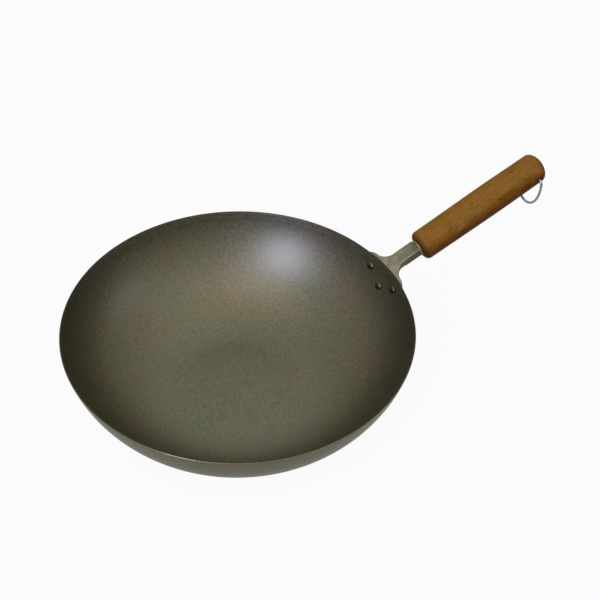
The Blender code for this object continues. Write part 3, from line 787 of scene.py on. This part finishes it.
def pressed_titanium():
    """Pressed titanium sheet in its mill finish: warm grey and satin, with fine rolling lines along the
    neck. Its colour holds painted light: a painted highlight where it bends over the rim, painted shade
    towards the collar, and darker painted shade on its flanks and sheared edges."""
    finish, tree = new_finish("pressed_mill_finish_titanium")
    along = handle_coordinates(tree)
    # Rolling lines are really about 0.1 mm apart, and are drawn as coarse as they need to show
    lines = pattern_of(tree, along, 0.8, stretch=(12.0, 1.0, 1.0))
    cloud = pattern_of(tree, along, 6.0, detail=3.0)
    greys = [(0.3, "#5F5B48"), (0.5, "#6D6953"), (0.7, "#7C775E")]
    tone = add_node(tree, "ShaderNodeValToRGB", {"Fac": cloud}, stops=greys).outputs["Color"]
    rolled = add_node(
        tree, "ShaderNodeMapRange", {"Value": lines, **MIDDLE_HALF, "To Min": 0.88, "To Max": 1.12})
    # Painted shade: the flanks and sheared edges are darker
    flank = add_node(tree, "ShaderNodeAttribute", attribute_name="flank").outputs["Fac"]
    painted_flank_shade = add_node(tree, "ShaderNodeMapRange", {"Value": flank, "To Min": 1.0, "To Max": 0.5})
    # Painted light: a painted highlight at the bend over the rim, and painted shade towards the collar
    reach = add_node(tree, "ShaderNodeSeparateXYZ", {"Vector": along}).outputs["X"]
    painted_light_stops = [(0.2, "#D0D0D0"), (0.45, "#BBBBBB"), (1.0, "#A5A5A5")]
    painted_neck_light = tone_over(tree, reach, 0.0, GRIP_START, painted_light_stops)
    share = add_node(tree, "ShaderNodeMath", {0: painted_neck_light, 1: WHITE_FACTOR}, operation="MULTIPLY")
    for factor in (rolled, painted_flank_shade):
        inputs = {0: share.outputs[0], 1: factor.outputs[0]}
        share = add_node(tree, "ShaderNodeMath", inputs, operation="MULTIPLY")
    colour = add_node(tree, "ShaderNodeVectorMath", {0: tone, "Scale": share.outputs[0]}, operation="SCALE")
    rough = add_node(
        tree, "ShaderNodeMapRange", {"Value": lines, **MIDDLE_HALF, "To Min": 0.36, "To Max": 0.46})
    relief = add_node(tree, "ShaderNodeBump", {"Height": lines, "Distance": 0.012 * MM})
    return end_finish(finish, {
        "Base Color": colour.outputs[0], "Metallic": 1.0, "Roughness": rough.outputs[0],
        "Normal": relief.outputs[0]})


def turned_steel():
    """Stainless steel as it leaves the lathe: grey, with fine tool rings round the handle's axis."""
    finish, tree = new_finish("lathe_turned_stainless_steel")
    rings = pattern_of(tree, handle_coordinates(tree), 0.25, detail=1.0, stretch=(1.0, 60.0, 60.0))
    greys = [(0.35, "#747555"), (0.65, "#898A67")]
    tone = add_node(tree, "ShaderNodeValToRGB", {"Fac": rings}, stops=greys)
    relief = add_node(tree, "ShaderNodeBump", {"Height": rings, "Distance": 0.006 * MM})
    return end_finish(finish, {
        "Base Color": tone.outputs[0], "Metallic": 1.0, "Roughness": 0.5, "Normal": relief.outputs[0]})


def headed_steel():
    """Cold-headed steel rivets: dark grey, a little shiny, with the faint dents of the heading tool."""
    finish, tree = new_finish("cold_headed_rivet_steel")
    here = add_node(tree, "ShaderNodeTexCoord").outputs["Object"]
    dents = pattern_of(tree, here, 1.6, detail=1.0)
    greys = [(0.35, "#454333"), (0.65, "#58563F")]
    tone = add_node(tree, "ShaderNodeValToRGB", {"Fac": dents}, stops=greys)
    relief = add_node(tree, "ShaderNodeBump", {"Height": dents, "Distance": 0.03 * MM})
    return end_finish(finish, {
        "Base Color": tone.outputs[0], "Metallic": 1.0, "Roughness": 0.24, "Normal": relief.outputs[0]})


def drawn_bar_steel():
    """Cold-drawn steel bar: mid grey, satin, with die lines along its length."""
    finish, tree = new_finish("cold_drawn_bar_steel")
    # Die lines are really about 0.1 mm wide, and are drawn as coarse as they need to show
    lines = pattern_of(tree, handle_coordinates(tree), 0.4, stretch=(40.0, 1.0, 1.0))
    greys = [(0.35, "#6A6A66"), (0.65, "#7C7B76")]
    tone = add_node(tree, "ShaderNodeValToRGB", {"Fac": lines}, stops=greys)
    relief = add_node(tree, "ShaderNodeBump", {"Height": lines, "Distance": 0.008 * MM})
    return end_finish(finish, {
        "Base Color": tone.outputs[0], "Metallic": 1.0, "Roughness": 0.42, "Normal": relief.outputs[0]})


def drawn_wire():
    """Drawn stainless wire: neutral grey and bright, with a faint cloudiness along it."""
    finish, tree = new_finish("bright_drawn_stainless_wire")
    here = add_node(tree, "ShaderNodeTexCoord").outputs["Object"]
    haze = pattern_of(tree, here, 1.2)
    greys = [(0.35, "#737474"), (0.65, "#898A89")]
    tone = add_node(tree, "ShaderNodeValToRGB", {"Fac": haze}, stops=greys)
    rough = add_node(
        tree, "ShaderNodeMapRange", {"Value": haze, **MIDDLE_HALF, "To Min": 0.2, "To Max": 0.3})
    relief = add_node(tree, "ShaderNodeBump", {"Height": haze, "Distance": 0.006 * MM})
    return end_finish(finish, {
        "Base Color": tone.outputs[0], "Metallic": 1.0, "Roughness": rough.outputs[0],
        "Normal": relief.outputs[0]})


def oiled_wood():
    """Turned hardwood, stained amber and oiled: golden brown with soft redder and darker patches along the
    grain, and short fine pores. It is darker towards the underside, which is painted shade, and darker
    towards both ends. The oil leaves it matt."""
    finish, tree = new_finish("stained_oiled_hardwood")
    along = handle_coordinates(tree)
    figure = pattern_of(tree, along, 6.0, stretch=(2.2, 1.0, 1.0))
    streaks = pattern_of(tree, along, 1.5, detail=3.0, stretch=(9.0, 1.0, 1.0))
    # The pores are really about 0.2 mm wide, and are drawn as coarse as they need to show
    pores = pattern_of(tree, along, 0.9, detail=1.0, stretch=(3.0, 1.0, 1.0))
    ambers = [(0.32, "#6F4C0F"), (0.45, "#805F1B"), (0.57, "#7A521F"), (0.7, "#8B6724")]
    tone = add_node(tree, "ShaderNodeValToRGB", {"Fac": figure}, stops=ambers).outputs["Color"]
    streak_tones = [(0.3, "#563506"), (0.7, "#8D6724")]
    streak = add_node(tree, "ShaderNodeValToRGB", {"Fac": streaks}, stops=streak_tones).outputs["Color"]
    streak_share = 0.16
    wood = add_node(tree, "ShaderNodeMix", {0: streak_share, 6: tone, 7: streak}, data_type="RGBA")

    # Painted shade darkens the underside, along an edge that wanders with the figure; both ends are darker
    # too
    shade_edge_wanders = 2.0 * MM
    painted_shade_below = 0.7 * GRIP_SWELL_RADIUS
    darker_ends_depth = 5.0 * MM
    half = GRIP_LENGTH / 2
    place = add_node(tree, "ShaderNodeSeparateXYZ", {"Vector": along})
    inputs = {"Value": figure, **MIDDLE_HALF, "To Min": -shade_edge_wanders, "To Max": shade_edge_wanders}
    wander = add_node(tree, "ShaderNodeMapRange", inputs).outputs["Result"]
    height = add_node(tree, "ShaderNodeMath", {0: place.outputs["Z"], 1: wander}, operation="ADD").outputs[0]
    underside = tone_over(tree, height, 0.0, painted_shade_below, [(0.0, "#C29E4C"), (1.0, "#FFFFFF")])
    inputs = {0: place.outputs["X"], 1: GRIP_START + half}
    offset = add_node(tree, "ShaderNodeMath", inputs, operation="SUBTRACT").outputs[0]
    reach = add_node(tree, "ShaderNodeMath", {0: offset}, operation="ABSOLUTE").outputs[0]
    darker_ends = tone_over(tree, reach, half - darker_ends_depth, half, [(0.0, "#FFFFFF"), (1.0, "#A89468")])
    for darkening in (underside, darker_ends):
        inputs = {0: 1.0, 6: wood.outputs[2], 7: darkening}
        wood = add_node(tree, "ShaderNodeMix", inputs, data_type="RGBA", blend_type="MULTIPLY")

    shade = add_node(
        tree, "ShaderNodeMapRange", {"Value": pores, **MIDDLE_HALF, "To Min": 0.78, "To Max": 1.08})
    inputs = {0: wood.outputs[2], "Scale": shade.outputs[0]}
    colour = add_node(tree, "ShaderNodeVectorMath", inputs, operation="SCALE")
    relief = add_node(tree, "ShaderNodeBump", {"Height": pores, "Distance": 0.02 * MM})
    return end_finish(finish, {
        "Base Color": colour.outputs[0], "Roughness": 0.6, "Specular IOR Level": 0.04,
        "Normal": relief.outputs[0]})


def backdrop_share(tree):
    """1 for the rays that show the background: the camera's own, and those off metal and through glass."""
    path = add_node(tree, "ShaderNodeLightPath")
    shown = path.outputs["Is Camera Ray"]
    for kind in ("Is Glossy Ray", "Is Transmission Ray"):
        both = add_node(tree, "ShaderNodeMath", {0: shown, 1: path.outputs[kind]}, operation="MAXIMUM")
        shown = both.outputs[0]
    return shown


def make_floor():
    """A wide white floor just under the base. It shows as nearly white, and keeps the wok's shadow."""
    gap = 0.0002
    half = 6.0
    # What the camera sees of plain white. The rest is the paper, which carries the shadow
    white_share = 0.94
    corners = [(-half, -half, -gap), (half, -half, -gap), (half, half, -gap), (-half, half, -gap)]
    mesh = bpy.data.meshes.new("floor")
    mesh.from_pydata(corners, [], [(0, 1, 2, 3)])
    finish, tree = new_finish("matt_white_paper")
    paper = add_node(tree, "ShaderNodeBsdfDiffuse", {"Color": srgb("#BEBEBE")})
    white = add_node(tree, "ShaderNodeEmission", {"Color": srgb("#FFFFFF"), "Strength": 1.0})
    share = add_node(tree, "ShaderNodeMath", {0: backdrop_share(tree), 1: white_share}, operation="MULTIPLY")
    inputs = {0: share.outputs[0], 1: paper.outputs[0], 2: white.outputs[0]}
    mixed = add_node(tree, "ShaderNodeMixShader", inputs)
    add_node(tree, "ShaderNodeOutputMaterial", {"Surface": mixed.outputs[0]})
    mesh.materials.append(finish)
    new_object("floor", mesh)


def light_world():
    """An even white surround that lights softly and shows as white."""
    world = bpy.data.worlds.new("studio")
    bpy.context.scene.world = world
    world.use_nodes = True
    tree = world.node_tree
    tree.nodes.clear()
    soft = add_node(tree, "ShaderNodeBackground", {"Color": srgb("#FFF4E2"), "Strength": 0.4})
    white = add_node(tree, "ShaderNodeBackground", {"Color": srgb("#FFFFFF"), "Strength": 1.0})
    inputs = {0: backdrop_share(tree), 1: soft.outputs[0], 2: white.outputs[0]}
    mixed = add_node(tree, "ShaderNodeMixShader", inputs)
    add_node(tree, "ShaderNodeOutputWorld", {"Surface": mixed.outputs[0]})


def add_lamp(name, towards, distance, size, power, colour):
    """A soft lamp, in a direction and at a distance from the middle of the bowl, that faces it. Its size is
    its width and height, and its power is in watts."""
    lamp = bpy.data.lights.new(name, "AREA")
    lamp.shape = "RECTANGLE"
    lamp.size, lamp.size_y = size
    lamp.energy = power
    lamp.color = srgb(colour)[:3]
    item = bpy.data.objects.new(name, lamp)
    aim = Vector((0.0, 0.0, 0.05))
    way = Vector(towards).normalized()
    item.location = aim + way * distance
    item.rotation_euler = way.to_track_quat("Z", "Y").to_euler()
    bpy.context.scene.collection.objects.link(item)


def add_camera():
    """The photograph's view: a long lens, 44 degrees above the rim's plane, turned a little on its axis.
    The centre of the rim's circle is placed by its pixel in the 600 x 600 frame."""
    frame_size = 600
    focal_pixels = 1500.0
    elevation = math.radians(43.874)
    roll = math.radians(1.474)
    handle_turn = math.radians(-31.86)
    rim_centre_pixel = (238.25, 326.78)
    distance = 1.3913

    forward = Vector((0.0, math.cos(elevation), -math.sin(elevation)))
    level = Vector((1.0, 0.0, 0.0))
    over = level.cross(forward)
    right = math.cos(roll) * level + math.sin(roll) * over
    up = math.cos(roll) * over - math.sin(roll) * level
    across = (rim_centre_pixel[0] - frame_size / 2) / focal_pixels * distance
    above = (frame_size / 2 - rim_centre_pixel[1]) / focal_pixels * distance
    turn = Matrix.Rotation(handle_turn, 3, "Z")
    place = turn @ -(across * right + above * up + distance * forward) + Vector((0.0, 0.0, BOWL_DEPTH))
    axes = Matrix((turn @ right, turn @ up, turn @ -forward)).transposed()

    camera = bpy.data.objects.new("camera", bpy.data.cameras.new("camera"))
    camera.data.sensor_width = 36.0
    camera.data.lens = camera.data.sensor_width * focal_pixels / frame_size
    camera.data.clip_start = 0.05
    camera.matrix_world = Matrix.Translation(place) @ axes.to_4x4()
    bpy.context.scene.collection.objects.link(camera)
    bpy.context.scene.camera = camera


TURNING = turning_tree()
RIVETING = riveting_tree()
WIRE = wire_tree()

make_bowl(blasted_titanium())
make_rivets(headed_steel())
make_bracket(pressed_titanium())
make_collar(turned_steel())
bar_steel = drawn_bar_steel()
make_tang(bar_steel)
make_pin(bar_steel)
make_grip(oiled_wood())
make_ring(drawn_wire())

make_floor()
light_world()
add_lamp("key", (-0.787, -0.418, 0.454), 1.9, (0.6, 1.2), 50.2, "#ABB3FF")
add_lamp("side", (0.764, -0.497, 0.412), 1.9, (0.5, 0.5), 3.0, "#9FB6FF")
add_lamp("overhead", (0.0, -0.25, 0.97), 1.6, (2.4, 2.4), 15.1, "#E9E4FF")
add_lamp("front_fill", (-0.36, -0.28, 0.89), 1.7, (0.8, 0.8), 4.3, "#F6DEFF")
add_lamp("back_fill", (0.35, 0.62, 0.70), 1.9, (1.2, 1.2), 3.5, "#ADC5FF")
add_camera()
bpy.context.scene.view_settings.view_transform = "Standard"
